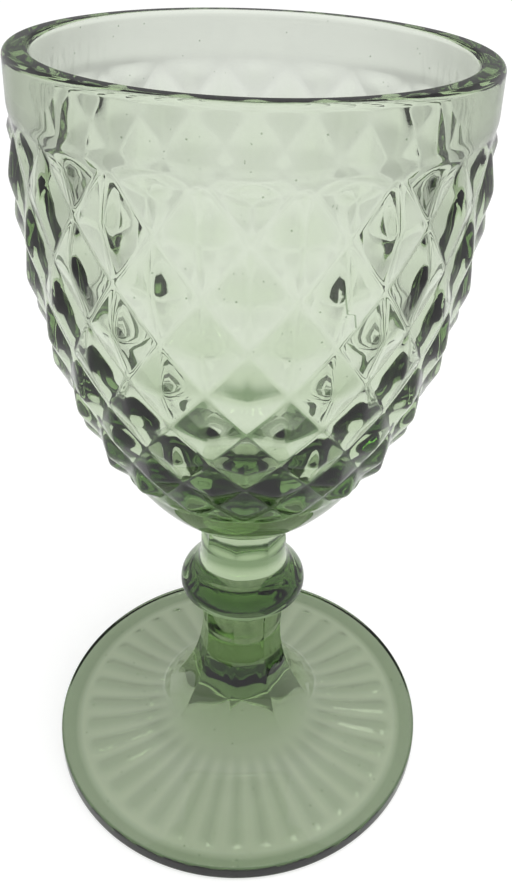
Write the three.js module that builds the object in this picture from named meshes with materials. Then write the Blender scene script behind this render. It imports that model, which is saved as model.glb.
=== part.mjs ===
// A footed goblet of pressed green glass: bowl, stem and foot, joined flat face to flat face.
// Millimetres, +Z up, origin at the centre of the ring that the foot rests on.
import * as THREE from "three";

// Foot
const FOOT_RADIUS = 44;
const FOOT_HEIGHT = 9; // resting plane up to the seam under the stem
const FOOT_EDGE_HEIGHT = 3.6; // height of the rounded outer edge
const FOOT_RISE = 7; // exponent of the top face, which sweeps up into the stem
const EDGE_UNDERCUT = 3.2; // how far the edge curves in underneath, down to the resting ring
const RESTING_RING_WIDTH = 1.8;
const HOLLOW_DEPTH = 7; // how far the middle of the underside is raised
const HOLLOW_CURVE = 2.2; // exponent of the underside, 1 for a straight cone
const FLUTE_COUNT = 36;
const FLUTE_DEPTH = 0.5;
const FLUTE_INNER_RADIUS = 14;

// Stem
const STEM_BASE_RADIUS = 17.3;
const FLARE_HEIGHT = 25; // seam on the foot up to the straight lower neck
const FLARE_CORNER_CURVE = 2.45; // exponent of the flare along its eight corners
const FLARE_ROUND_CURVE = 2.67; // exponent of the round base that the flats run out into
const LOWER_NECK_LENGTH = 11; // top of the flare up to the middle of the knop
const UPPER_NECK_LENGTH = 18; // middle of the knop up to the seam under the bowl
const NECK_RADIUS = 9.5; // over the corners of the eight-sided neck
const NECK_SIDES = 8;
const NECK_TURN = -10; // degrees from the front to the nearest corner
const KNOP_RADIUS = 14.3;
const KNOP_LOWER_SPREAD = 3; // how far below and above its middle the knop runs, to a third of its relief
const KNOP_UPPER_SPREAD = 4.8;
const KNOP_CURVE = 2.4; // exponent of its bell curve, larger for a blunter edge
const KNOP_REACH = 1.8; // its rings end at this many spreads, where it has run out
const COLLAR_HEIGHT = 7.5; // seam under the bowl down to the end of the neck's flats
const COLLAR_BEVEL = 1.6; // height over which the flats run out above the round neck

// Bowl
const BOWL_HEIGHT = 103; // seam on the stem up to the rim
const BOWL_RADIUS = 42.8; // over the valleys of the diamond pattern, at the shoulder
const BOWL_FULLNESS = 1.82; // exponent of the outer curve, 2 for an ellipse
const SHOULDER_DROP = 16; // rim down to where the outer curve starts to draw in
const BAND_PROUD = 0.7; // how far the plain band stands out past the shoulder
const BAND_HEIGHT = 11; // plain band from the rim down to the top of the pattern
const BAND_STEP = 1.6; // height of the slope between band and pattern
const WALL = 4.6; // wall at the rim
const LIP_ROUND = 2.1; // rounding of both edges of the lip
const LIP_LAND = 0.2; // least flat left between the two roundings
const BASE_THICKNESS = 15; // glass between the seam and the bottom of the inside
const INSIDE_CURVE = 3; // exponents of the inside curve, over depth and over radius
const INSIDE_FULLNESS = 1.9;

// Diamond pattern
const DIAMOND_COUNT = 18;
const DIAMOND_ASPECT = 1.3; // height of a diamond over its width
const DIAMOND_RELIEF = 1.7; // height of a point over its valleys, at the shoulder
const PATTERN_END_RADIUS = 29.5; // the pattern stops where the bowl is narrower than this

// Fineness of the round surfaces
const STEM_COLUMNS = 4 * NECK_SIDES;
const ROUNDING_STEPS = 4;
const FOOT_RINGS = 10;
const FLARE_RINGS = 8;
const KNOP_RINGS = 6; // on each side of the knop's middle
const BASE_RINGS = 4;
const INSIDE_RINGS = 12;

const FRONT = -Math.PI / 2;
const { clamp, degToRad, euclideanModulo, lerp } = THREE.MathUtils;

const flareTop = FOOT_HEIGHT + FLARE_HEIGHT;
const knopMiddle = flareTop + LOWER_NECK_LENGTH;
const neckTop = knopMiddle + UPPER_NECK_LENGTH;
const rim = neckTop + BOWL_HEIGHT;
const bandRadius = BOWL_RADIUS + BAND_PROUD;

// A ring of points round the axis. place(column, angle) gives the radius and height at each column.
function ring(columns, place) {
  const points = [];
  for (let column = 0; column < columns; column += 1) {
    const angle = (2 * Math.PI * column) / columns;
    const { radius, height } = place(column, angle);
    points.push(new THREE.Vector3(radius * Math.cos(angle), radius * Math.sin(angle), height));
  }
  return points;
}

function plainRing(columns, radius, height) {
  return ring(columns, () => ({ radius, height }));
}

// A closed solid from a run of rings, fanned to the axis at both ends.
// The diagonals alternate, so that a raised point is the top of four facets.
function solidOfRings(rings, startHeight, endHeight) {
  const columns = rings[0].length;
  const points = rings.flat();
  const start = points.length;
  const end = start + 1;
  points.push(new THREE.Vector3(0, 0, startHeight), new THREE.Vector3(0, 0, endHeight));

  const triangles = [];
  const lastRing = (rings.length - 1) * columns;
  for (let column = 0; column < columns; column += 1) {
    const next = (column + 1) % columns;
    triangles.push(start, next, column);
    triangles.push(end, lastRing + column, lastRing + next);
    for (let row = 0; row + 1 < rings.length; row += 1) {
      const a = row * columns + column;
      const b = row * columns + next;
      const c = b + columns;
      const d = a + columns;
      if ((row + column) % 2 === 0) {
        triangles.push(a, b, c, a, c, d);
      } else {
        triangles.push(a, b, d, b, c, d);
      }
    }
  }
  const geometry = new THREE.BufferGeometry().setFromPoints(points);
  geometry.setIndex(triangles);
  geometry.computeVertexNormals();
  return geometry;
}

// Foot: a disc that sweeps up into the stem, hollow and fluted underneath, with a rounded outer edge.
function makeFoot() {
  const columns = 2 * FLUTE_COUNT;
  const edgeRound = FOOT_EDGE_HEIGHT / 2;
  const ringOuter = FOOT_RADIUS - EDGE_UNDERCUT;
  const ringInner = ringOuter - RESTING_RING_WIDTH;
  const underside = (radius) => HOLLOW_DEPTH * (1 - radius / ringInner) ** HOLLOW_CURVE;
  const rings = [];

  // Every second column lies at the bottom of a flute, which fades out at both of its ends.
  for (let step = 0; step < FOOT_RINGS; step += 1) {
    const along = step / FOOT_RINGS;
    const radius = lerp(FLUTE_INNER_RADIUS, ringInner, along);
    const depth = FLUTE_DEPTH * Math.sin(Math.PI * along);
    rings.push(ring(columns, (column) => ({
      radius,
      height: underside(radius) + (column % 2 === 0 ? depth : 0),
    })));
  }
  rings.push(plainRing(columns, ringInner, 0));
  for (let step = -ROUNDING_STEPS; step < ROUNDING_STEPS; step += 1) {
    const turn = (Math.PI * step) / (2 * ROUNDING_STEPS);
    const reach = step < 0 ? EDGE_UNDERCUT : edgeRound;
    const radius = FOOT_RADIUS - reach * (1 - Math.cos(turn));
    rings.push(plainRing(columns, radius, edgeRound * (1 + Math.sin(turn))));
  }
  for (let step = 0; step <= FOOT_RINGS; step += 1) {
    const inwards = step / FOOT_RINGS;
    const radius = lerp(FOOT_RADIUS - edgeRound, STEM_BASE_RADIUS, inwards);
    rings.push(plainRing(columns, radius, lerp(FOOT_EDGE_HEIGHT, FOOT_HEIGHT, inwards ** FOOT_RISE)));
  }
  return solidOfRings(rings, underside(0), FOOT_HEIGHT);
}

// Radius of an upright flat-sided neck with corners at radius 1, in the direction of angle.
function flatSided(angle) {
  const side = (2 * Math.PI) / NECK_SIDES;
  const corner = FRONT + degToRad(NECK_TURN);
  const fromFlat = euclideanModulo(angle - corner, side) - side / 2;
  return Math.cos(side / 2) / Math.cos(fromFlat);
}

// Stem: a flare with eight flats that run out into a round base, a knop, and an eight-sided collar.
function makeStem() {
  const flats = NECK_RADIUS * Math.cos(Math.PI / NECK_SIDES);
  const collarEnd = neckTop - COLLAR_HEIGHT;
  const flareDrop = (height) => Math.max(0, (flareTop - height) / FLARE_HEIGHT);
  const flareTo = (height, radius, curve) => lerp(radius, STEM_BASE_RADIUS, flareDrop(height) ** curve);
  // The knop springs from the flats below its middle, and from a round neck under the collar above it.
  const knop = (height) => {
    const above = height > knopMiddle;
    const share = Math.abs(height - knopMiddle) / (above ? KNOP_UPPER_SPREAD : KNOP_LOWER_SPREAD);
    const neck = above ? lerp(NECK_RADIUS, flats, clamp((height - collarEnd) / COLLAR_BEVEL, 0, 1)) : flats;
    return lerp(neck, KNOP_RADIUS, Math.exp(-(share ** KNOP_CURVE)));
  };
  const section = (height) => ring(STEM_COLUMNS, (column, angle) => {
    const corners = flatSided(angle) * flareTo(height, NECK_RADIUS, FLARE_CORNER_CURVE);
    return { radius: Math.max(corners, flareTo(height, flats, FLARE_ROUND_CURVE), knop(height)), height };
  });

  const heights = [];
  for (let step = 0; step <= FLARE_RINGS; step += 1) {
    heights.push(lerp(FOOT_HEIGHT, flareTop, step / FLARE_RINGS));
  }
  for (let step = -KNOP_RINGS; step <= KNOP_RINGS; step += 1) {
    const spread = step > 0 ? KNOP_UPPER_SPREAD : KNOP_LOWER_SPREAD;
    heights.push(knopMiddle + (KNOP_REACH * spread * step) / KNOP_RINGS);
  }
  heights.push(collarEnd, collarEnd + COLLAR_BEVEL, neckTop);
  return solidOfRings(heights.map(section), FOOT_HEIGHT, neckTop);
}

// Outer curve of the bowl over the valleys, from the shoulder down to the neck.
const shoulder = rim - SHOULDER_DROP;
const neckDrop = Math.sqrt(1 - (NECK_RADIUS / BOWL_RADIUS) ** BOWL_FULLNESS);
const curveDepth = (shoulder - neckTop) / neckDrop;

function bowlDrop(height) {
  return Math.max(0, (shoulder - height) / curveDepth);
}

function bowlRadius(height) {
  return BOWL_RADIUS * (1 - bowlDrop(height) ** 2) ** (1 / BOWL_FULLNESS);
}

// How fast the outer curve widens with height.
function bowlSlope(height) {
  const drop = bowlDrop(height);
  return (2 * drop * bowlRadius(height)) / (BOWL_FULLNESS * curveDepth * (1 - drop * drop));
}

// Heights of the crossings, from the top: each row keeps the diamonds' shape as the bowl narrows.
function diamondRows() {
  const rows = [];
  let height = rim - BAND_HEIGHT;
  while (bowlRadius(height) > PATTERN_END_RADIUS) {
    rows.push(height);
    const halfWidth = (Math.PI * bowlRadius(height)) / DIAMOND_COUNT;
    height -= (DIAMOND_ASPECT * halfWidth) / Math.hypot(1, bowlSlope(height));
  }
  rows.push(height);
  return rows;
}

// A row of the pattern: crossings and raised points in turn, the points set out along the normal.
function diamondRing(columns, row, height) {
  const base = bowlRadius(height);
  const slope = bowlSlope(height);
  const relief = (DIAMOND_RELIEF * base) / BOWL_RADIUS / Math.hypot(1, slope);
  return ring(columns, (column) => {
    const raised = (row + column) % 2 === 1 ? relief : 0;
    return { radius: base + raised, height: height - raised * slope };
  });
}

// Bowl: a smooth inside, diamond points outside, and a plain band with a rounded lip.
function makeBowl() {
  const columns = 2 * DIAMOND_COUNT;
  const rows = diamondRows();
  const lastRow = rows.length - 1;
  const rings = [];

  // The count of rings below the pattern puts its crossings where the diagonals meet.
  const baseRings = BASE_RINGS + ((BASE_RINGS + lastRow) % 2);
  for (let step = 0; step < baseRings; step += 1) {
    const height = lerp(neckTop, rows[lastRow], (step / baseRings) ** BOWL_FULLNESS);
    rings.push(plainRing(columns, bowlRadius(height), height));
  }
  rings.push(plainRing(columns, bowlRadius(rows[lastRow]), rows[lastRow]));
  for (let row = lastRow - 1; row > 0; row -= 1) {
    rings.push(diamondRing(columns, row, rows[row]));
  }
  rings.push(plainRing(columns, bowlRadius(rows[0]), rows[0]));

  const lip = Math.min(LIP_ROUND, (WALL - LIP_LAND) / 2);
  const lipCentre = rim - lip;
  const insideRadius = bandRadius - WALL;
  rings.push(plainRing(columns, bandRadius, rows[0] + BAND_STEP));
  for (let step = 0; step <= ROUNDING_STEPS; step += 1) {
    const turn = (Math.PI * step) / (2 * ROUNDING_STEPS);
    rings.push(plainRing(columns, bandRadius - lip * (1 - Math.cos(turn)), lipCentre + lip * Math.sin(turn)));
  }
  for (let step = ROUNDING_STEPS; step >= 0; step -= 1) {
    const turn = (Math.PI * step) / (2 * ROUNDING_STEPS);
    const radius = insideRadius + lip * (1 - Math.cos(turn));
    rings.push(plainRing(columns, radius, lipCentre + lip * Math.sin(turn)));
  }

  const insideFloor = neckTop + BASE_THICKNESS;
  for (let step = 1; step < INSIDE_RINGS; step += 1) {
    const depth = Math.sin((Math.PI * step) / (2 * INSIDE_RINGS));
    const radius = insideRadius * (1 - depth ** INSIDE_CURVE) ** (1 / INSIDE_FULLNESS);
    rings.push(plainRing(columns, radius, lerp(lipCentre, insideFloor, depth)));
  }
  return solidOfRings(rings, neckTop, insideFloor);
}

function glass(colour) {
  return new THREE.MeshStandardMaterial({ color: colour, roughness: 0.04, metalness: 0 });
}

function piece(name, geometry, material) {
  const mesh = new THREE.Mesh(geometry, material);
  mesh.name = name;
  return mesh;
}

const goblet = new THREE.Group();
goblet.name = "goblet";
goblet.add(
  piece("foot", makeFoot(), glass(0xa3b595)),
  piece("stem", makeStem(), glass(0x6f8f57)),
  piece("bowl", makeBowl(), glass(0xb8c6ad)),
);

export default goblet;
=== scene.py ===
"""Looks of a footed goblet of pressed green glass: bowl, stem and foot, on a pale floor.

Lengths are millimetres unless a comment says metres. The meshes are made in metres, in the frame of the
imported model.
"""
import math

import bpy
import numpy as np
from mathutils import Matrix, Vector


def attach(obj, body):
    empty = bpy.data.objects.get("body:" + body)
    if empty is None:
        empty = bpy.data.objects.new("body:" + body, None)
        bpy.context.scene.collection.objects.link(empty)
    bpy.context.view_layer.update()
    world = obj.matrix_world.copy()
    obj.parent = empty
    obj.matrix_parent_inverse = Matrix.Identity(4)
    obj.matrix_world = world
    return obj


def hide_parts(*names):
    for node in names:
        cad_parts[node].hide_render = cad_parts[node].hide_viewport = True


MM = 0.001

# Foot
FOOT_RADIUS = 44.0
FOOT_HEIGHT = 9.0
FOOT_EDGE_HEIGHT = 3.6
FOOT_RISE = 7.0
EDGE_UNDERCUT = 3.2
EDGE_SQUARENESS = 6.0
RESTING_RING_WIDTH = 1.8
HOLLOW_DEPTH = 7.0
HOLLOW_CURVE = 2.2

# Flutes under the foot, and the shares of their length where they have risen and where they start to fade
FLUTE_COUNT = 36
FLUTE_DEPTH = 0.5
FLUTE_INNER_RADIUS = 14.0
FLUTE_RISEN = 0.3
FLUTE_FADING = 0.9

# Stem
STEM_BASE_RADIUS = 17.3
FLARE_HEIGHT = 25.0
FLARE_CORNER_CURVE = 2.45
FLARE_ROUND_CURVE = 2.67
LOWER_NECK_LENGTH = 11.0
UPPER_NECK_LENGTH = 18.0
SEAM_RADIUS = 9.5
NECK_RADIUS = 9.3
NECK_SIDES = 8
NECK_TURN = -10.0
ROUND_NECK_RADIUS = 9.65
KNOP_RADIUS = 14.3
KNOP_LOWER_SPREAD = 3.0
KNOP_UPPER_SPREAD = 4.4
KNOP_CURVE = 2.4
COLLAR_HEIGHT = 6.0
COLLAR_BEVEL = 3.0
CORNER_SHARPNESS = 30.0

# Bowl
BOWL_HEIGHT = 103.0
BOWL_RADIUS = 42.8
BOWL_FULLNESS = 1.82
SHOULDER_DROP = 16.0
BAND_PROUD = 0.7
BAND_HEIGHT = 11.0
BAND_SLOPE = 5.0
WALL = 4.6
LIP_ROUND = 1.3
BASE_THICKNESS = 15.0
BASE_LIFT = 1.5
BASE_ROUNDING = 0.3
INSIDE_CURVE = 3.0
INSIDE_FULLNESS = 1.9

# Diamond pattern, and the levels over which its relief fades at the lower and the upper end
DIAMOND_COUNT = 18
DIAMOND_ASPECT = 1.3
DIAMOND_RELIEF = 1.55
POINT_SQUARENESS = 5.0
POINT_ROUND = 0.1
PATTERN_END_RADIUS = 29.5
PATTERN_CLEARANCE = 1.0
LOWER_FADE = 0.8
UPPER_FADE = 0.35

# Half of the hair-thin gap that keeps the pieces apart at the two seams
SEAM_GAP = 0.01

FLARE_TOP = FOOT_HEIGHT + FLARE_HEIGHT
KNOP_MIDDLE = FLARE_TOP + LOWER_NECK_LENGTH
NECK_TOP = KNOP_MIDDLE + UPPER_NECK_LENGTH
RIM = NECK_TOP + BOWL_HEIGHT
BAND_RADIUS = BOWL_RADIUS + BAND_PROUD
SHOULDER = RIM - SHOULDER_DROP
PATTERN_TOP = RIM - BAND_HEIGHT
BOWL_FLOOR = NECK_TOP + BASE_THICKNESS
BOWL_CURVE_DEPTH = (SHOULDER - NECK_TOP) / math.sqrt(1 - (SEAM_RADIUS / BOWL_RADIUS) ** BOWL_FULLNESS)

# Columns round the axis, a whole number for each diamond and for each flute
COLUMNS = 360

# Rings along each form before its ends are trimmed, and points along the pattern
UNDER_RINGS = 64
EDGE_RINGS = 41
TOP_RINGS = 80
STEM_RINGS = 220
STUB_RINGS = 6
BASE_RINGS = 25
BAND_RINGS = 20
LIP_RINGS = 13
INSIDE_RINGS = 61
LEVEL_POINTS = 4000

# Glass: its green, how fast that deepens per metre, how much it bends light, and the tints of the pieces,
# the foot's being painted shade that makes it darker and greener
GLASS_GREEN = (0.48, 0.64, 0.32)
GLASS_DENSITY = 66.0
GLASS_BEND = 1.5
CLEAR = (1.0, 1.0, 1.0)
FOOT_SHADE_TINT = (0.70, 0.76, 0.63)

# Painted shade: the dark green that it goes towards, which seeds and the hairline share, and how far on
# flutes, foot edge, knop and bowl base
SHADE_AND_MARK_GREEN = (0.06, 0.16, 0.025)
PANEL_SHADE = 0.3
EDGE_SHADE = 0.85
KNOP_SHADE = 0.75
BASE_SHADE = 0.9

# Painted shade of the foot's edge, from -1 at the bottom to 1 at the top: where it fades and where it
# lightens
EDGE_FADING = 0.93
EDGE_LIGHTENING = -0.5
EDGE_LOWEST_SHARE = 0.65

# Where the knop's painted shade lies, in millimetres above its middle and in spreads from there
KNOP_SHADE_LIFT = 1.0
KNOP_SHADE_FULL = 0.6
KNOP_SHADE_END = 1.2

# Where the painted shade of the bowl's base lies, in shares of the way out to the pattern
BASE_SHADE_FULL = 0.3
BASE_SHADE_END = 0.6

# Finish of the glass, with lengths in metres: seeds, a hairline mark, smudges and waviness
SEED_SPACING = 0.0036
SEED_RADIUS = 0.00025
SEED_SHADE = 0.3
HAIRLINE_TOP = (0.0140, 0.1392)
HAIRLINE_BOTTOM = 0.1297
HAIRLINE_LEAN = 0.17
HAIRLINE_KINK = 0.0012
HAIRLINE_KINK_HEIGHT = 0.1330
HAIRLINE_KINK_LENGTH = 0.0008
HAIRLINE_WIDTH = 0.0003
HAIRLINE_SHADE = 0.75
HAIRLINE_FRONT = -0.037
SMUDGE_SIZE = 0.02
SMUDGE_DETAIL = 4.0
SMUDGE_START = 0.5
SMUDGE_FULL = 0.8
SMUDGE_ROUGHNESS = 0.03
WAVE_SIZE = 0.009
WAVE_DETAIL = 1.0
WAVE_STRENGTH = 0.3
WAVE_DEPTH = 0.0004

# Floor: half its width and its depth under the foot, its colour, and its mottle, with lengths in metres
FLOOR_HALF = 6.0
FLOOR_DROP = 0.0002
FLOOR_GREY = 0.45
FLOOR_ROUGHNESS = 0.9
MOTTLE = 0.02
MOTTLE_SIZE = 0.03

# Glow of the floor beyond its lit colour: an even white as seen directly, and painted light as seen in the
# glass
WHITE_DIRECT = 0.60
GLOW_IN_GLASS = 0.40

# Fade of that painted light in the glass, and where it starts and ends in metres, at both sides and at the
# back
SIDE_FADE = 0.6
SIDE_FADE_START = 0.12
SIDE_FADE_END = 0.40
BACK_FADE = 0.2
BACK_FADE_START = 0.30
BACK_FADE_END = 0.60

# Brightness of the room: everywhere, at the sides, towards the front, and overhead from a steepness on
ROOM_FILL = 0.25
ROOM_SIDES = 0.8
ROOM_FRONT = 0.8
ROOM_TOP = 1.0
ROOM_TOP_START = 0.7

# Lamp: its place, width and aim in metres, and its power in watts
LAMP_PLACE = (0.2, -0.2, 1.6)
LAMP_AIM = (0, 0, 0.06)
LAMP_WIDTH = 0.9
LAMP_POWER = 11.0

# Camera: its place in metres, its angles in degrees, and the picture, its middle ray and its lens in pixels
CAMERA_PLACE = (0, -0.168, 0.196)
CAMERA_YAW = -2.30
CAMERA_PITCH = 26.37
CAMERA_ROLL = -2.53
PICTURE_WIDTH = 512
PICTURE_HEIGHT = 889
MIDDLE_RAY = (283, 316)
LENS_PIXELS = 929
SENSOR_WIDTH = 36
NEAREST = 0.01


def smoothstep(low, high, value):
    """0 at low and before it, 1 at high and past it, and the cubic 3t^2 - 2t^3 between."""
    t = np.clip((value - low) / (high - low), 0, 1)
    return t * t * (3 - 2 * t)


def soft_max(sharpness, *values):
    """The larger of positive values with a rounded crease: the root of the sum of their powers."""
    return sum(v**sharpness for v in values) ** (1 / sharpness)


def column_angles():
    """Angles of the columns round the axis, from +X."""
    return np.arange(COLUMNS) * (2 * math.pi / COLUMNS)


def rings_from(radius, height):
    """Points on every column, as rings by columns by 3: x = r cos a, y = r sin a, z = h."""
    radius, height = np.broadcast_arrays(radius, height)
    angle = column_angles()
    return np.stack([radius * np.cos(angle), radius * np.sin(angle), height + 0 * angle], axis=2)


def closed_skin(name, rings, start_height, end_height, caps, crossed=None):
    """A closed smooth mesh over rings, fanned at both ends to a pole on the axis.

    Each square between two rings is cut into two triangles, along a-c where crossed is true and along b-d
    elsewhere. caps tells for each pole whether its fan is a seam face. A seam face gets the value 1 in the
    attribute seam_face and a sharp edge all round.
    """
    count, columns, _ = rings.shape
    poles = np.array([[0, 0, start_height], [0, 0, end_height]])
    points = np.concatenate([rings.reshape(-1, 3), poles]) * MM
    index = np.arange(count * columns).reshape(count, columns)
    a = index[:-1]
    d = index[1:]
    b = np.roll(a, -1, axis=1)
    c = np.roll(d, -1, axis=1)
    if crossed is None:
        crossed = np.ones(a.shape, bool)
    first = np.where(crossed[..., None], np.stack([a, b, c], 2), np.stack([a, b, d], 2))
    second = np.where(crossed[..., None], np.stack([a, c, d], 2), np.stack([b, c, d], 2))
    start = np.stack([np.full(columns, count * columns), np.roll(index[0], -1), index[0]], 1)
    end = np.stack([np.full(columns, count * columns + 1), index[-1], np.roll(index[-1], -1)], 1)
    faces = np.concatenate([first.reshape(-1, 3), second.reshape(-1, 3), start, end])

    mesh = bpy.data.meshes.new(name)
    mesh.from_pydata(points.tolist(), [], faces.tolist())
    seam = np.zeros(len(faces), np.float32)
    seam[-2 * columns : -columns] = caps[0]
    seam[-columns:] = caps[1]
    attribute = mesh.attributes.new("seam_face", "FLOAT", "FACE")
    attribute.data.foreach_set("value", seam)
    mesh.polygons.foreach_set("use_smooth", np.ones(len(faces), bool))
    mesh.update()
    ends = np.zeros(2 * len(mesh.edges), np.int32)
    mesh.edges.foreach_get("vertices", ends)
    ring = ends.reshape(-1, 2) // columns
    first_edge = caps[0] * np.all(ring == 0, axis=1)
    last_edge = caps[1] * np.all(ring == count - 1, axis=1)
    mesh.edges.foreach_set("use_edge_sharp", first_edge + last_edge > 0)
    piece = bpy.data.objects.new(name, mesh)
    bpy.context.scene.collection.objects.link(piece)
    return piece


def shade_points(piece, shade):
    """Writes the painted shade, ring by ring, to a point attribute that darkens the glass colour, 0 at both
    poles.
    """
    values = np.append(np.asarray(shade, np.float32).ravel(), [0, 0]).astype(np.float32)
    piece.data.attributes.new("painted_shade", "FLOAT", "POINT").data.foreach_set("value", values)


def flat_sided(angle):
    """Radius of an eight-sided neck with corners at 1: cos(half side) over cos(angle from the flat)."""
    side = 2 * math.pi / NECK_SIDES
    corner = math.radians(NECK_TURN - 90)
    from_flat = np.mod(angle - corner, side) - side / 2
    return math.cos(side / 2) / np.cos(from_flat)


def base_flare(height):
    """Round base under the flats: a power curve from the neck's flats to the base."""
    flats = NECK_RADIUS * math.cos(math.pi / NECK_SIDES)
    drop = np.clip((FLARE_TOP - height) / FLARE_HEIGHT, 0, 1)
    return flats + (STEM_BASE_RADIUS - flats) * drop**FLARE_ROUND_CURVE


def make_foot():
    """Foot: power curves on top and underneath, and a squared-off half ellipse for the edge between them.

    The flutes underneath are a cosine round the axis. They deepen outwards in line with the radius and fade
    out at both ends. Painted shade darkens the glass colour on the flutes and on the edge.
    """
    edge_round = FOOT_EDGE_HEIGHT / 2
    edge_centre = FOOT_RADIUS - edge_round
    ring_inner = FOOT_RADIUS - EDGE_UNDERCUT - RESTING_RING_WIDTH

    under_r = np.linspace(0, ring_inner, UNDER_RINGS)[1:, None]
    along = np.clip((under_r - FLUTE_INNER_RADIUS) / (ring_inner - FLUTE_INNER_RADIUS), 0, 1)
    ends = np.minimum(smoothstep(0, FLUTE_RISEN, along), smoothstep(1, FLUTE_FADING, along))
    flutes = ends * (0.5 + 0.5 * np.cos(FLUTE_COUNT * column_angles()))
    depth = FLUTE_DEPTH * under_r / ring_inner
    under = HOLLOW_DEPTH * (1 - under_r / ring_inner) ** HOLLOW_CURVE + depth * flutes
    turn = np.linspace(-0.5, 0.5, EDGE_RINGS)[:, None] * math.pi
    power = 2 / EDGE_SQUARENESS
    out = np.cos(turn) ** power
    up = np.sign(turn) * np.abs(np.sin(turn)) ** power
    reach = np.where(turn < 0, EDGE_UNDERCUT, edge_round)
    inwards = np.linspace(0, 1, TOP_RINGS)[1:, None]
    top_r = edge_centre + (STEM_BASE_RADIUS - edge_centre) * inwards
    top = FOOT_EDGE_HEIGHT + (FOOT_HEIGHT - SEAM_GAP - FOOT_EDGE_HEIGHT) * inwards**FOOT_RISE
    rings = np.concatenate(
        [
            rings_from(under_r, under),
            rings_from(FOOT_RADIUS - reach * (1 - out), edge_round * (1 + up)),
            rings_from(top_r, top),
        ]
    )
    foot = closed_skin("foot_glass", rings, HOLLOW_DEPTH, FOOT_HEIGHT - SEAM_GAP, (0, 1))
    # Painted shade: darker glass colour on the flute panels and on the foot's edge
    lower = EDGE_LOWEST_SHARE + (1 - EDGE_LOWEST_SHARE) * smoothstep(-1, EDGE_LIGHTENING, up)
    shade = np.zeros((len(rings), COLUMNS))
    shade[: len(under_r)] = PANEL_SHADE * flutes
    shade[len(under_r) : len(under_r) + len(turn)] = EDGE_SHADE * smoothstep(1, EDGE_FADING, up) * lower
    shade_points(foot, shade)
    return foot


def knop_section(height):
    """Knop on a neck that is round between two bevels and shrinks to the flats past them.

    The knop is a bell curve, with a spread of its own below and above its middle.
    """
    flats = NECK_RADIUS * math.cos(math.pi / NECK_SIDES)
    above = height > KNOP_MIDDLE
    share = np.abs(height - KNOP_MIDDLE) / np.where(above, KNOP_UPPER_SPREAD, KNOP_LOWER_SPREAD)
    collar_end = NECK_TOP - COLLAR_HEIGHT
    below_collar = smoothstep(collar_end + COLLAR_BEVEL, collar_end, height)
    above_flare = smoothstep(FLARE_TOP - COLLAR_BEVEL, FLARE_TOP, height)
    round_neck = np.where(above, ROUND_NECK_RADIUS, NECK_RADIUS)
    neck = flats + (round_neck - flats) * below_collar * above_flare
    return neck + (KNOP_RADIUS - neck) * np.exp(-(share**KNOP_CURVE))


def make_stem():
    """Stem: at each height the rounded larger of an eight-sided flare, a round base, and neck and knop."""
    height = np.linspace(FOOT_HEIGHT + SEAM_GAP, NECK_TOP - SEAM_GAP, STEM_RINGS)[:, None]
    drop = np.clip((FLARE_TOP - height) / FLARE_HEIGHT, 0, 1)
    corners = NECK_RADIUS + (STEM_BASE_RADIUS - NECK_RADIUS) * drop**FLARE_CORNER_CURVE
    flare = corners * flat_sided(column_angles())
    radius = soft_max(CORNER_SHARPNESS, flare, base_flare(height), knop_section(height))
    stem = closed_skin("stem_glass", rings_from(radius, height), height[0, 0], height[-1, 0], (1, 1))
    # Painted shade: the glass colour darkens round the knop's lower part
    from_knop = np.abs(height - KNOP_MIDDLE - KNOP_SHADE_LIFT) / KNOP_LOWER_SPREAD
    shade_points(stem, KNOP_SHADE * smoothstep(KNOP_SHADE_END, KNOP_SHADE_FULL, from_knop) + 0 * radius)
    return stem


def bowl_radius(height):
    """Outer curve over the valleys: R (1 - d^2)^(1/fullness).

    d is the drop below the shoulder over the depth of the whole curve.
    """
    drop = np.maximum(0, (SHOULDER - height) / BOWL_CURVE_DEPTH)
    return BOWL_RADIUS * (1 - drop**2) ** (1 / BOWL_FULLNESS)


def bowl_slope(height):
    """How fast the outer curve widens with height, the derivative of bowl_radius."""
    drop = np.maximum(0, (SHOULDER - height) / BOWL_CURVE_DEPTH)
    return 2 * drop * bowl_radius(height) / (BOWL_FULLNESS * BOWL_CURVE_DEPTH * (1 - drop**2))


def valley_radius(height):
    """Outer curve with the plain band, which swells out in a smooth step about the top of the pattern."""
    swell = smoothstep(PATTERN_TOP - BAND_SLOPE / 2, PATTERN_TOP + BAND_SLOPE / 2, height)
    return bowl_radius(height) + BAND_PROUD * swell


def pattern_levels():
    """Heights down the pattern and the level at each, counted from its top.

    A level is half a diamond, which is DIAMOND_ASPECT times its half width, measured along the curve.
    """
    height = np.linspace(PATTERN_TOP, NECK_TOP + PATTERN_CLEARANCE, LEVEL_POINTS)
    radius = bowl_radius(height)
    rate = np.hypot(1, bowl_slope(height)) * DIAMOND_COUNT / (DIAMOND_ASPECT * math.pi * radius)
    step = -np.diff(height)
    level = np.concatenate([[0], np.cumsum((rate[1:] + rate[:-1]) / 2 * step)])
    return height, level


def diamond_points(level, column):
    """Relief of the pattern, 1 at a point and 0 in the valleys.

    With a and b the distances from the diamond's middle to its two pairs of sides, as shares from 0 to 1,
    and s the squareness, m = (a^s + b^s - a^s b^s)^(1/s) is a rounded square that grows to the diamond's
    outline. The relief is 1 - m, with m rounded off near 0.
    """
    across = np.abs(2 * np.mod((level + column) / 2, 1) - 1) ** POINT_SQUARENESS
    along = np.abs(2 * np.mod((level - column) / 2, 1) - 1) ** POINT_SQUARENESS
    outline = (across + along - across * along) ** (1 / POINT_SQUARENESS)
    return 1 - (np.hypot(outline, POINT_ROUND) - POINT_ROUND) / (math.hypot(1, POINT_ROUND) - POINT_ROUND)


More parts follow.
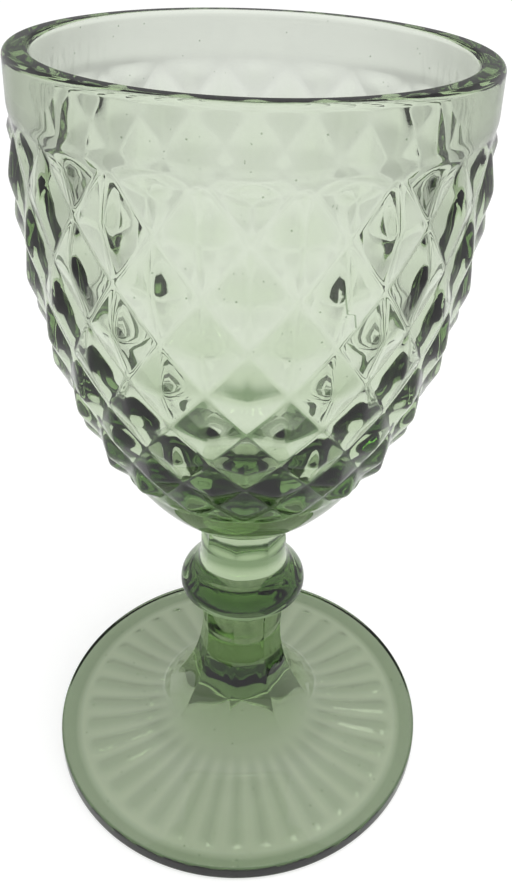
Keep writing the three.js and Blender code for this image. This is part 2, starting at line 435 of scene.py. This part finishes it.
def base_rings(top):
    """Rings of the bowl from the seam up to the pattern's lower end at height top, and the painted shade of
    each.

    A short eight-sided stub of the neck comes first. The outer curve above it is lifted near the neck, by
    the square of the share left to the pattern, and turns from eight-sided to round.
    """
    eight_sided = NECK_RADIUS * flat_sided(column_angles())
    stub_height = np.linspace(NECK_TOP + SEAM_GAP, NECK_TOP + BASE_LIFT, STUB_RINGS)[:-1, None]
    share = np.linspace(0, 1, BASE_RINGS)[:-1, None]
    height = NECK_TOP + (top - NECK_TOP) * share**BOWL_FULLNESS
    radius = bowl_radius(height)
    outwards = (radius - SEAM_RADIUS) / (bowl_radius(top) - SEAM_RADIUS)
    squeeze = eight_sided / SEAM_RADIUS
    rounding = squeeze + (1 - squeeze) * smoothstep(0, BASE_ROUNDING, outwards)
    lifted = height + BASE_LIFT * (1 - outwards) ** 2
    rings = np.concatenate([rings_from(eight_sided, stub_height), rings_from(radius * rounding, lifted)])
    # Painted shade: a dark band on the bowl's base near the neck
    shade = np.zeros((len(rings), 1))
    shade[len(stub_height) :] = BASE_SHADE * smoothstep(BASE_SHADE_END, BASE_SHADE_FULL, outwards)
    return rings, shade


def rim_rings():
    """Rings of the bowl up the plain band, over the lip in two quarter circles, and down the smooth inside.

    The inside is a power curve from the lip to the floor of the bowl.
    """
    lip_centre = RIM - LIP_ROUND
    inside_radius = BAND_RADIUS - WALL
    band_height = np.linspace(PATTERN_TOP, lip_centre, BAND_RINGS)[1:-1, None]
    turn = np.linspace(0, 0.5, LIP_RINGS)[:, None] * math.pi
    lip_height = lip_centre + LIP_ROUND * np.sin(turn)
    inset = LIP_ROUND * (1 - np.cos(turn))
    depth = np.sin(np.linspace(0, 0.5, INSIDE_RINGS)[1:-1, None] * math.pi)
    inside_r = inside_radius * (1 - depth**INSIDE_CURVE) ** (1 / INSIDE_FULLNESS)
    return np.concatenate(
        [
            rings_from(valley_radius(band_height), band_height),
            rings_from(BAND_RADIUS - inset, lip_height),
            rings_from(inside_radius + inset, lip_height)[::-1],
            rings_from(inside_r, lip_centre + (BOWL_FLOOR - lip_centre) * depth),
        ]
    )


def make_bowl():
    """Bowl: base, diamond points set out along the normal of the outer curve, band, lip and inside."""
    column = np.arange(COLUMNS) * (2 * DIAMOND_COUNT / COLUMNS)
    heights, levels = pattern_levels()
    end_height = np.interp(PATTERN_END_RADIUS, bowl_radius(heights)[::-1], heights[::-1])
    last = math.ceil(np.interp(-end_height, -heights, levels))
    steps = COLUMNS // (2 * DIAMOND_COUNT)
    level = np.linspace(last, 0, last * steps + 1)
    height = np.interp(level, levels, heights)[:, None]
    level = level[:, None]
    ends = smoothstep(last, last - LOWER_FADE, level) * smoothstep(0, UPPER_FADE, level)
    relief = DIAMOND_RELIEF * diamond_points(level, column) * ends
    slope = bowl_slope(height)
    lean = np.hypot(1, slope)
    pattern = rings_from(valley_radius(height) + relief / lean, height - relief * slope / lean)
    base, base_shade = base_rings(height[0, 0])
    rings = np.concatenate([base, pattern, rim_rings()])

    cell_level = np.floor((level[:-1] + level[1:]) / 2)
    cell_column = np.floor(column + 0.5 / steps)
    crossed = np.ones((len(rings) - 1, COLUMNS), bool)
    crossed[len(base) : len(base) + len(level) - 1] = np.mod(cell_level + cell_column, 2) == 1
    bowl = closed_skin("bowl_glass", rings, NECK_TOP + SEAM_GAP, BOWL_FLOOR, (1, 0), crossed)
    shade = np.zeros((len(rings), COLUMNS))
    shade[: len(base)] = base_shade
    shade_points(bowl, shade)
    return bowl


def blend(tree, operation, first, second, third=0.0):
    """A Math node on values or sockets, and its output."""
    node = tree.nodes.new("ShaderNodeMath")
    node.operation = operation
    for socket, value in zip(node.inputs, (first, second, third)):
        if isinstance(value, bpy.types.NodeSocket):
            tree.links.new(value, socket)
        else:
            socket.default_value = value
    return node.outputs[0]


def fade(tree, value, start, end, amount):
    """1 up to start, and 1 - amount from end on, with a smooth step between."""
    node = tree.nodes.new("ShaderNodeMapRange")
    node.interpolation_type = "SMOOTHSTEP"
    node.inputs["From Min"].default_value = start
    node.inputs["From Max"].default_value = end
    node.inputs["To Min"].default_value = 1.0
    node.inputs["To Max"].default_value = 1.0 - amount
    tree.links.new(value, node.inputs["Value"])
    return node.outputs["Result"]


def finish_group():
    """Shared finish: tiny dark seeds, cloudy smudges for the roughness, a slow waviness for the height."""
    group = bpy.data.node_groups.new("pressed_finish", "ShaderNodeTree")
    group.interface.new_socket("Place", in_out="INPUT", socket_type="NodeSocketVector")
    for name in ("Seeds", "Roughness", "Height"):
        group.interface.new_socket(name, in_out="OUTPUT", socket_type="NodeSocketFloat")
    place = group.nodes.new("NodeGroupInput").outputs["Place"]
    result = group.nodes.new("NodeGroupOutput").inputs

    seeds = group.nodes.new("ShaderNodeTexVoronoi")
    seeds.inputs["Scale"].default_value = 1 / SEED_SPACING
    group.links.new(place, seeds.inputs["Vector"])
    dark = group.nodes.new("ShaderNodeMapRange")
    dark.inputs["From Min"].default_value = SEED_RADIUS / SEED_SPACING / 2
    dark.inputs["From Max"].default_value = SEED_RADIUS / SEED_SPACING
    dark.inputs["To Min"].default_value = SEED_SHADE
    group.links.new(seeds.outputs["Distance"], dark.inputs["Value"])
    group.links.new(dark.outputs["Result"], result["Seeds"])

    smudges = group.nodes.new("ShaderNodeTexNoise")
    smudges.inputs["Scale"].default_value = 1 / SMUDGE_SIZE
    smudges.inputs["Detail"].default_value = SMUDGE_DETAIL
    group.links.new(place, smudges.inputs["Vector"])
    haze = group.nodes.new("ShaderNodeMapRange")
    haze.inputs["From Min"].default_value = SMUDGE_START
    haze.inputs["From Max"].default_value = SMUDGE_FULL
    haze.inputs["To Max"].default_value = SMUDGE_ROUGHNESS
    group.links.new(smudges.outputs["Fac"], haze.inputs["Value"])
    group.links.new(haze.outputs["Result"], result["Roughness"])

    waves = group.nodes.new("ShaderNodeTexNoise")
    waves.inputs["Scale"].default_value = 1 / WAVE_SIZE
    waves.inputs["Detail"].default_value = WAVE_DETAIL
    group.links.new(place, waves.inputs["Vector"])
    group.links.new(waves.outputs["Fac"], result["Height"])
    return group


def hairline(tree, place):
    """A hairline mark on the outside of the bowl, as a share from 0 to 1 at each place.

    It runs down from its top, leans by a fixed share of the drop, and steps aside in a smooth kink.
    """
    split = tree.nodes.new("ShaderNodeSeparateXYZ")
    tree.links.new(place, split.inputs[0])
    x, y, z = split.outputs
    kink = tree.nodes.new("ShaderNodeMapRange")
    kink.interpolation_type = "SMOOTHSTEP"
    kink.inputs["From Min"].default_value = HAIRLINE_KINK_HEIGHT + HAIRLINE_KINK_LENGTH / 2
    kink.inputs["From Max"].default_value = HAIRLINE_KINK_HEIGHT - HAIRLINE_KINK_LENGTH / 2
    tree.links.new(z, kink.inputs["Value"])
    top_x, top_z = HAIRLINE_TOP
    lean = blend(tree, "MULTIPLY_ADD", z, -HAIRLINE_LEAN, top_x + HAIRLINE_LEAN * top_z)
    middle = blend(tree, "MULTIPLY_ADD", kink.outputs["Result"], HAIRLINE_KINK, lean)
    near = blend(tree, "COMPARE", x, middle, HAIRLINE_WIDTH / 2)
    along = blend(tree, "COMPARE", z, (top_z + HAIRLINE_BOTTOM) / 2, (top_z - HAIRLINE_BOTTOM) / 2)
    outside = blend(tree, "LESS_THAN", y, HAIRLINE_FRONT)
    return blend(tree, "MULTIPLY", blend(tree, "MULTIPLY", near, along), outside)


def green_glass(name, tint, finish):
    """Pressed glass: green by its depth, with a tint that seeds and the hairline darken, and that painted
    shade darkens.

    Seam faces bend no light, so that the fused pieces show no seam.
    """
    material = bpy.data.materials.new(name)
    material.use_nodes = True
    tree = material.node_tree
    nodes, links = tree.nodes, tree.links
    shader = nodes["Principled BSDF"]
    shader.inputs["Transmission Weight"].default_value = 1.0
    worn = nodes.new("ShaderNodeGroup")
    worn.node_tree = finish
    place = nodes.new("ShaderNodeTexCoord").outputs["Object"]
    links.new(place, worn.inputs["Place"])
    colour = nodes.new("ShaderNodeMix")
    colour.data_type = "RGBA"
    colour.inputs["A"].default_value = (*SHADE_AND_MARK_GREEN, 1)
    colour.inputs["B"].default_value = (*tint, 1)
    # Painted shade from the mesh, together with the seeds and the hairline, pulls the colour towards the
    # dark green
    shade = nodes.new("ShaderNodeAttribute")
    shade.attribute_name = "painted_shade"
    light = blend(tree, "SUBTRACT", 1.0, shade.outputs["Fac"])
    unmarked = blend(tree, "MULTIPLY_ADD", hairline(tree, place), -HAIRLINE_SHADE, 1.0)
    clean = blend(tree, "MULTIPLY", worn.outputs["Seeds"], unmarked)
    links.new(blend(tree, "MULTIPLY", clean, light), colour.inputs["Factor"])
    links.new(colour.outputs["Result"], shader.inputs["Base Color"])
    links.new(worn.outputs["Roughness"], shader.inputs["Roughness"])
    bump = nodes.new("ShaderNodeBump")
    bump.inputs["Strength"].default_value = WAVE_STRENGTH
    bump.inputs["Distance"].default_value = WAVE_DEPTH
    links.new(worn.outputs["Height"], bump.inputs["Height"])
    links.new(bump.outputs["Normal"], shader.inputs["Normal"])

    seam = nodes.new("ShaderNodeAttribute")
    seam.attribute_name = "seam_face"
    bend = nodes.new("ShaderNodeMapRange")
    bend.inputs["To Min"].default_value = GLASS_BEND
    bend.inputs["To Max"].default_value = 1.0
    links.new(seam.outputs["Fac"], bend.inputs["Value"])
    links.new(bend.outputs["Result"], shader.inputs["IOR"])
    depth = nodes.new("ShaderNodeVolumeAbsorption")
    depth.inputs["Color"].default_value = (*GLASS_GREEN, 1)
    depth.inputs["Density"].default_value = GLASS_DENSITY
    links.new(depth.outputs["Volume"], nodes["Material Output"].inputs["Volume"])
    return material


def pale_floor():
    """A wide pale floor a hair under the foot, glowing white where it is seen directly, and with painted
    light where glass shows it.

    That painted light fades towards both sides and the back.
    """
    mesh = bpy.data.meshes.new("floor")
    signs = ((-1, -1), (1, -1), (1, 1), (-1, 1))
    corners = [(x * FLOOR_HALF, y * FLOOR_HALF, -FLOOR_DROP) for x, y in signs]
    mesh.from_pydata(corners, [], [(0, 1, 2, 3)])
    floor = bpy.data.objects.new("floor", mesh)
    bpy.context.scene.collection.objects.link(floor)
    material = bpy.data.materials.new("pale_floor")
    material.use_nodes = True
    tree = material.node_tree
    shader = tree.nodes["Principled BSDF"]
    place = tree.nodes.new("ShaderNodeTexCoord").outputs["Object"]
    mottle = tree.nodes.new("ShaderNodeTexNoise")
    mottle.inputs["Scale"].default_value = 1 / MOTTLE_SIZE
    tree.links.new(place, mottle.inputs["Vector"])
    grey = blend(tree, "MULTIPLY_ADD", mottle.outputs["Fac"], MOTTLE, FLOOR_GREY - MOTTLE / 2)
    tree.links.new(grey, shader.inputs["Base Color"])
    shader.inputs["Roughness"].default_value = FLOOR_ROUGHNESS

    split = tree.nodes.new("ShaderNodeSeparateXYZ")
    tree.links.new(place, split.inputs[0])
    x, y, _ = split.outputs
    # Painted light: the floor glows in the glass, less towards both sides and the back
    sides = fade(tree, blend(tree, "ABSOLUTE", x, 0.0), SIDE_FADE_START, SIDE_FADE_END, SIDE_FADE)
    back = fade(tree, y, BACK_FADE_START, BACK_FADE_END, BACK_FADE)
    glass_glow = blend(tree, "MULTIPLY", blend(tree, "MULTIPLY", sides, back), GLOW_IN_GLASS)
    path = tree.nodes.new("ShaderNodeLightPath").outputs
    shown = blend(tree, "MAXIMUM", path["Is Glossy Ray"], path["Is Transmission Ray"])
    glow_shown = blend(tree, "MULTIPLY", shown, glass_glow)
    seen = blend(tree, "MULTIPLY_ADD", path["Is Camera Ray"], WHITE_DIRECT, glow_shown)
    shader.inputs["Emission Color"].default_value = (1, 1, 1, 1)
    tree.links.new(seen, shader.inputs["Emission Strength"])
    mesh.materials.append(material)


def studio_world():
    """A dim room, brighter at both sides, towards the front and overhead.

    In a direction x, y, z it is fill + sides x^2 + front y^2, the last only where y is below 0. From the
    starting steepness on it rises in line with z, by top straight overhead.
    """
    world = bpy.data.worlds.new("studio")
    bpy.context.scene.world = world
    world.use_nodes = True
    tree = world.node_tree
    split = tree.nodes.new("ShaderNodeSeparateXYZ")
    tree.links.new(tree.nodes.new("ShaderNodeTexCoord").outputs["Generated"], split.inputs[0])
    x, y, z = split.outputs
    side = blend(tree, "MULTIPLY_ADD", blend(tree, "MULTIPLY", x, x), ROOM_SIDES, ROOM_FILL)
    forward = blend(tree, "MINIMUM", y, 0.0)
    front = blend(tree, "MULTIPLY_ADD", blend(tree, "MULTIPLY", forward, forward), ROOM_FRONT, side)
    steep = blend(tree, "MAXIMUM", blend(tree, "SUBTRACT", z, ROOM_TOP_START), 0.0)
    whole = blend(tree, "MULTIPLY_ADD", steep, ROOM_TOP / (1 - ROOM_TOP_START), front)
    tree.links.new(whole, tree.nodes["Background"].inputs["Color"])


def key_lamp():
    """A round soft lamp overhead that looks at the stem and isn't mirrored in the glass."""
    lamp = bpy.data.lights.new("key", "AREA")
    lamp.shape = "DISK"
    lamp.size = LAMP_WIDTH
    lamp.energy = LAMP_POWER
    holder = bpy.data.objects.new("key", lamp)
    holder.location = LAMP_PLACE
    holder.visible_glossy = False
    holder.rotation_euler = (Vector(LAMP_PLACE) - Vector(LAMP_AIM)).to_track_quat("Z", "Y").to_euler()
    bpy.context.scene.collection.objects.link(holder)


def place_camera():
    """Camera at the photograph's viewing angle: turned, pitched, rolled, with lens and shift in pixels."""
    yaw, pitch, roll = (math.radians(v) for v in (CAMERA_YAW, CAMERA_PITCH, CAMERA_ROLL))
    right = Vector((math.cos(yaw), math.sin(yaw), 0))
    level_ahead = Vector((-math.sin(yaw), math.cos(yaw), 0))
    ahead = level_ahead * math.cos(pitch) - Vector((0, 0, math.sin(pitch)))
    down = ahead.cross(right)
    across = right * math.cos(roll) + down * math.sin(roll)
    drop = down * math.cos(roll) - right * math.sin(roll)
    camera = bpy.data.objects.new("camera", bpy.data.cameras.new("camera"))
    bpy.context.scene.collection.objects.link(camera)
    axes = Matrix((across, -drop, -ahead)).transposed().to_4x4()
    camera.matrix_world = Matrix.Translation(CAMERA_PLACE) @ axes
    camera.data.sensor_width = SENSOR_WIDTH
    camera.data.lens = LENS_PIXELS * SENSOR_WIDTH / PICTURE_HEIGHT
    camera.data.shift_x = (PICTURE_WIDTH / 2 - MIDDLE_RAY[0]) / PICTURE_HEIGHT
    camera.data.shift_y = (MIDDLE_RAY[1] - PICTURE_HEIGHT / 2) / PICTURE_HEIGHT
    camera.data.clip_start = NEAREST
    bpy.context.scene.camera = camera


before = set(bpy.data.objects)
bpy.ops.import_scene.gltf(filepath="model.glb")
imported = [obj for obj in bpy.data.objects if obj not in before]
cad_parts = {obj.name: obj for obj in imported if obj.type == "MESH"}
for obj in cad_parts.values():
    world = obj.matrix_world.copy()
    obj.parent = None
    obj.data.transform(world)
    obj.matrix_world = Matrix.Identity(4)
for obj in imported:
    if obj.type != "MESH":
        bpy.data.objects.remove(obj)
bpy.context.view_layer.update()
finish = finish_group()
clear = green_glass("pressed_glass", CLEAR, finish)
# The foot's glass is a copy tinted darker and greener as painted shade
foot_shaded_glass = green_glass("pressed_foot_glass_shaded", FOOT_SHADE_TINT, finish)
pieces = (
    (make_bowl(), "bowl", clear),
    (make_stem(), "stem", clear),
    (make_foot(), "foot", foot_shaded_glass),
)
for piece, node, glass in pieces:
    piece.data.materials.append(glass)
    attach(piece, "root")
    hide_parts(node)
pale_floor()
studio_world()
key_lamp()
place_camera()
bpy.context.scene.view_settings.view_transform = "Standard"
